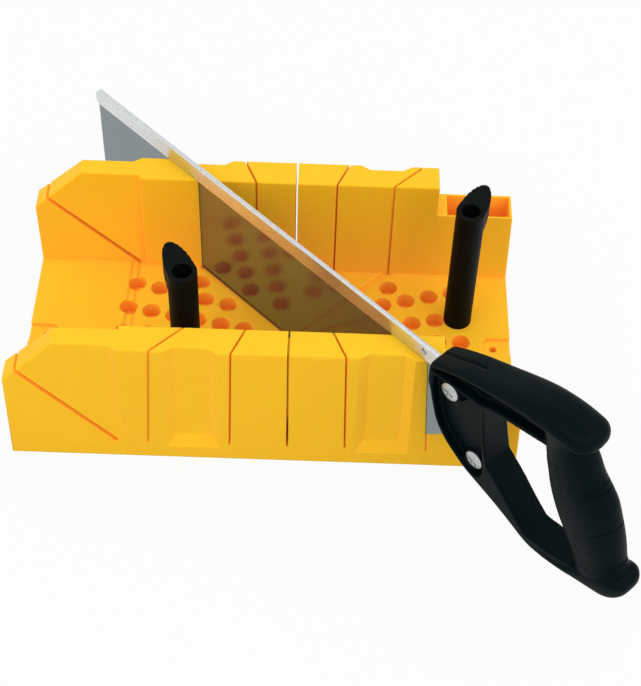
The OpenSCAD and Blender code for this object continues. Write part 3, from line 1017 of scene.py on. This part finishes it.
    def add_crown(self, bm: Mesh) -> None:
        """Adds the rounded crown, which ends in a blunt dome over the grip.

        Args:
            bm: Mesh that it goes into.
        """
        rows = along_curve(self.crown, self.station_rings)
        u_end, ridge, edge, half, fullness = rows[-1]
        for step in range(1, self.dome_rings + 1):
            turn = step / self.dome_rings * math.radians(self.dome_turn)
            width = math.cos(turn) ** (2 / fullness)
            rows.append([u_end + half * self.dome_reach * math.sin(turn) ** (2 / fullness),
                         edge + (ridge - edge) * width, edge, half * width, fullness])

        def flat_below(point: Vector, ring: int) -> Vector:
            """Fills out the arch of a ring and flattens its underside."""
            _, ridge, edge, _, fullness = rows[ring]
            arch = fuller(point, fullness)
            if arch.y < 0:
                arch.y *= self.crown_drop / (ridge - edge)
            return arch

        places = [upright_ring(u, edge, half, ridge - edge) for u, ridge, edge, half, _ in rows]
        loft(bm, places, self.ring_sides, flat_below)

    def grip_ring(self, row: Sequence[float]) -> Matrix:
        """Works out the grip's outline at one place down its axis.

        Args:
            row: Distance down the axis, reach to the front and to the back, half thickness.

        Returns:
            Matrix from a unit circle, with X to the back of the grip and Y across it.
        """
        q, front, rear, half = row
        lean = math.radians(self.grip_lean)
        down = Vector((math.sin(lean), 0, -math.cos(lean)))
        back = Vector((math.cos(lean), 0, math.sin(lean)))
        centre = Vector((self.grip_mid[0], 0, self.grip_mid[1])) + down * q + back * (rear - front) / 2
        columns = (back * (rear + front) / 2, Vector((0, half, 0)), down, centre)
        return Matrix([[*values] for values in zip(*columns)] + [[0, 0, 0, 1]])

    def grip_row(self, q: float) -> list[float]:
        """Finds the grip's reaches and thickness at a distance down its axis.

        Args:
            q: The distance.

        Returns:
            That distance, with the values of the nearest row of the grip's curve.
        """
        nearest = min(along_curve(self.grip, self.grip_fine), key=lambda row: abs(row[0] - q))
        return [q, *nearest[1:]]

    def grip_point(self, q: float, turn: float) -> Vector:
        """Finds a point on the grip's skin.

        Args:
            q: Distance down the grip's axis.
            turn: Angle round the grip in degrees, 0 at its back and negative on the near side.

        Returns:
            The point in the handle's millimetres.
        """
        angle = math.radians(turn)
        unit = fuller(Vector((math.cos(angle), math.sin(angle), 0)), self.grip_fullness)
        return self.grip_ring(self.grip_row(q)) @ unit

    def add_grip(self, bm: Mesh) -> None:
        """Adds the leaning oval grip.

        Args:
            bm: Mesh that it goes into.
        """
        places = [self.grip_ring(row) for row in along_curve(self.grip, self.station_rings)]
        loft(bm, places, self.ring_sides, lambda point, _: fuller(point, self.grip_fullness))

    def add_butt(self, bm: Mesh) -> None:
        """Adds the butt, which swells out behind the grip's foot.

        Args:
            bm: Mesh that it goes into.
        """
        places = []
        for u, low, high, half in along_curve(self.butt, self.station_rings):
            tall = (high - low) / 2
            places.append(upright_ring(u, low + tall, half, tall))
        loft(bm, places, self.ring_sides, lambda point, _: fuller(point, self.butt_fullness))

    def dished_plate(self) -> Solid:
        """Cuts the channel under the crown and the dish of the web into both sides of the plate.

        Returns:
            The plate in the handle's millimetres.
        """
        bm = bmesh.new()
        slab(bm, rounded(self.plate), -self.plate_half, self.plate_half)
        made = new_object("handle_plate", bm)
        past = self.plate_half + 1
        for outline, inner in ((self.channel, self.channel_half), (self.dish, self.dish_half)):
            for near, far in ((-past, -inner), (inner, past)):
                tool = bmesh.new()
                slab(tool, rounded(outline), near, far)
                combine(made, new_object("handle_cutter", tool), Joining.CUT)
        return made

    def solid(self) -> Solid:
        """Joins all the handle's forms into one skin.

        Returns:
            The handle in its own millimetres.
        """
        made = self.dished_plate()
        bm = bmesh.new()
        bm.from_mesh(made.data)
        bpy.data.objects.remove(made)
        slab(bm, rounded(self.plateau), -self.plateau_half, self.plateau_half)
        self.add_crown(bm)
        self.add_grip(bm)
        self.add_butt(bm)
        for at in self.screws:
            disc(bm, at, 0, self.ring_out, 2 * self.ring_half)
        made = new_object("handle_moulding", bm)
        remesh = made.modifiers.new("skin", "REMESH")
        remesh.mode = "VOXEL"
        remesh.voxel_size = self.voxel
        apply_modifiers(made)
        return made

    def soften(self, made: Solid) -> None:
        """Rounds the skin's edges a little and thins its faces.

        Args:
            made: The handle in its own millimetres.
        """
        bm = bmesh.new()
        bm.from_mesh(made.data)
        for _ in range(self.smooth_passes):
            bmesh.ops.smooth_vert(bm, verts=bm.verts, factor=self.smooth_share, use_axis_x=True,
                                  use_axis_y=True, use_axis_z=True)
        bm.to_mesh(made.data)
        bm.free()
        thin = made.modifiers.new("thin", "DECIMATE")
        thin.ratio = self.keep_faces
        apply_modifiers(made)

    def add_dots(self, made: Solid) -> None:
        """Covers the grip's finger side with small raised dots.

        Args:
            made: The handle in its own millimetres.
        """
        bm = bmesh.new()
        first, last = self.dot_rows
        for i in range(int((last - first) / self.dot_pitch) + 1):
            q = first + i * self.dot_pitch
            row = self.grip_row(q)
            middle = self.grip_ring(row).translation
            step = math.degrees(self.dot_pitch / row[-1])
            count = int(self.dot_spread / step)
            for k in range(-count, count + 1):
                # Every second row is set off by half a pitch, and 180 degrees is the finger side
                turn = 180 + (k + 0.5 * (i % 2)) * step
                point = self.grip_point(q, turn)
                inward = (middle - point).normalized()
                bmesh.ops.create_icosphere(bm, subdivisions=1, radius=self.dot_r,
                                           matrix=Matrix.Translation(point + inward * self.dot_sink))
        combine(made, new_object("handle_dots", bm), Joining.ADD)

    def crease_tool(self, near_q: float, back_q: float) -> Mesh:
        """Makes the tool for a crease that runs from the near side round the grip's back.

        Args:
            near_q: Its place down the grip's axis where it starts and ends.
            back_q: Its place at the grip's back.

        Returns:
            The tool's mesh.
        """
        _, front, rear, _ = self.grip_row(near_q)
        start = math.degrees(math.acos((self.crease_from - (rear - front) / 2) / ((rear + front) / 2)))
        steps = self.crease_steps
        path = []
        for step in range(steps + 1):
            turn = start * (2 * step / steps - 1)
            q = back_q + (near_q - back_q) * (abs(turn) / start) ** 2
            point = self.grip_point(q, turn)
            outward = (point - self.grip_ring(self.grip_row(q)).translation).normalized()
            path.append(point + outward * self.crease_lift)
        places = []
        for i, point in enumerate(path):
            ahead = (path[min(i + 1, steps)] - path[max(i - 1, 0)]).normalized()
            turn = ahead.to_track_quat("Z", "Y").to_matrix().to_4x4()
            width = min(1, self.crease_tip + min(i, steps - i) / self.crease_taper)
            places.append(Matrix.Translation(point) @ turn @ Matrix.Scale(self.crease_r * width, 4))
        tool = bmesh.new()
        loft(tool, places, self.crease_sides)
        return tool

    def cut(self, made: Solid) -> None:
        """Cuts the blade's slit, the screws' seats and the grip's creases.

        Args:
            made: The handle in its own millimetres.
        """
        slit = bmesh.new()
        slab(slit, self.slit, -self.slit_half, self.slit_half)
        seats = bmesh.new()
        depth = self.plate_half - self.seat_half
        for at in self.screws:
            for side in (-1, 1):
                disc(seats, at, side * (self.seat_half + depth / 2), self.ring_in, depth)
        for tool in (slit, seats, *(self.crease_tool(*crease) for crease in self.creases)):
            combine(made, new_object("handle_cutter", tool), Joining.CUT)

    def build(self, material: Material) -> None:
        """Makes the handle and ties it to the saw.

        Args:
            material: Its finish.
        """
        made = self.solid()
        self.soften(made)
        self.add_dots(made)
        self.cut(made)
        made.data.transform(self.place())
        made.data.shade_smooth()
        settle(made, material, Body.SAW, "saw_handle")


@dataclass(frozen=True)
class SoftBox:
    """Square soft lamp: its name, its place, the length of its side and its power in watts."""

    name: str
    place: Corner
    side: float
    power: float

    def build(self, aim: Corner) -> None:
        """Hangs the lamp.

        Args:
            aim: Point that it faces.
        """
        light = bpy.data.lights.new(self.name, "AREA")
        light.size = self.side
        light.energy = self.power
        lamp = bpy.data.objects.new(self.name, light)
        facing = (Vector(aim) - Vector(self.place)).to_track_quat("-Z", "Y")
        lamp.matrix_world = Matrix.Translation(self.place) @ facing.to_matrix().to_4x4()
        bpy.context.scene.collection.objects.link(lamp)


@dataclass
class Studio:
    """White studio: paper floor, soft light and a camera where the photograph was taken."""

    floor_side: float = 12
    # Camera: its place, its turns in degrees, and its field of view in the photograph's pixels
    eye: Corner = (0.017903, -0.716225, 0.847616)
    azimuth: float = 0.109
    elevation: float = 49.38
    roll: float = 2.043
    focal_px: float = 1624.98
    image_px: tuple[int, int] = (641, 686)
    sensor_mm: float = 36
    nearest: float = 0.01
    # Light of the sky, what mirrors see of it overhead, and the heights where that fades in
    sky: float = 1.0
    ceiling: float = 0.9
    backdrop_top: Range = (0.25, 0.5)
    aim: Corner = (0, 0, 0.05)
    lamps: list[SoftBox] = field(default_factory=lambda: [
        SoftBox("key", (-0.9, -0.9, 1.6), 1.2, 6.5),
        SoftBox("fill", (1.0, -0.7, 1.3), 1.0, 4.5),
        SoftBox("front", (0.8, -1.3, 0.9), 1.0, 0.5)])

    def add_floor(self) -> None:
        """Lays the paper floor."""
        bm = bmesh.new()
        bmesh.ops.create_grid(bm, x_segments=1, y_segments=1, size=self.floor_side / 2)
        floor = new_object("studio_floor", bm)
        floor.data.materials.append(PaperFloor().make())

    def set_camera(self) -> None:
        """Puts the camera at the photograph's place, turn and field of view."""
        lens = bpy.data.cameras.new("camera")
        lens.sensor_width = self.sensor_mm
        lens.lens = self.focal_px * self.sensor_mm / max(self.image_px)
        lens.clip_start = self.nearest
        camera = bpy.data.objects.new("camera", lens)
        turn = (Matrix.Rotation(math.radians(-self.azimuth), 4, "Z")
                @ Matrix.Rotation(math.radians(90 - self.elevation), 4, "X")
                @ Matrix.Rotation(math.radians(self.roll), 4, "Z"))
        camera.matrix_world = Matrix.Translation(self.eye) @ turn
        bpy.context.scene.collection.objects.link(camera)
        bpy.context.scene.camera = camera

    def set_world(self) -> None:
        """Lights the scene evenly, with a white backdrop all round and a dimmer ceiling to mirror."""
        world = bpy.data.worlds.new("studio")
        world.use_nodes = True
        tree = world.node_tree
        tree.nodes.clear()
        direction = add(tree, "ShaderNodeTexCoord").outputs["Generated"]
        height = add(tree, "ShaderNodeSeparateXYZ", None, {"Vector": direction}).outputs["Z"]
        backdrop = remap(tree, height, (1.0, self.ceiling), self.backdrop_top)
        # A mix node's plain values are its inputs 2 and 3
        level = add(tree, "ShaderNodeMix", None, {0: direct_rays(tree), 2: self.sky, 3: backdrop})
        sky = add(tree, "ShaderNodeBackground", None, {"Color": WHITE, "Strength": level.outputs[0]})
        output = add(tree, "ShaderNodeOutputWorld")
        tree.links.new(sky.outputs[0], output.inputs["Surface"])
        bpy.context.scene.world = world

    def build(self) -> None:
        """Makes the floor, the sky, the lamps and the camera."""
        self.add_floor()
        self.set_world()
        for lamp in self.lamps:
            lamp.build(self.aim)
        self.set_camera()
        bpy.context.scene.view_settings.view_transform = "Standard"


def main() -> None:
    """Builds the studio and dresses every piece in order."""
    logging.basicConfig(level=logging.INFO, format="%(name)s: %(message)s")
    Studio().build()
    Box().build(MouldedYellowAbs().make())
    nylon = MouldedBlackPlastic(name="moulded black nylon", colour="#070B0A", worn_colour="#0C100E",
                                roughness=(0.4, 0.54)).make()
    CamPin("cam_pin_left", Body.LEFT_PIN).build(nylon)
    CamPin("cam_pin_right", Body.RIGHT_PIN).build(nylon)
    dress("saw_blade", GroundBladeSteel().make())
    dress("saw_back", GalvanisedSteel().make())
    zinc = ZincPlate().make()
    for part in ("upper_handle_screw", "lower_handle_screw", "upper_sleeve_nut", "lower_sleeve_nut"):
        dress(part, zinc)
    Handle().build(MouldedBlackPlastic().make())


if __name__ == "__main__":
    main()
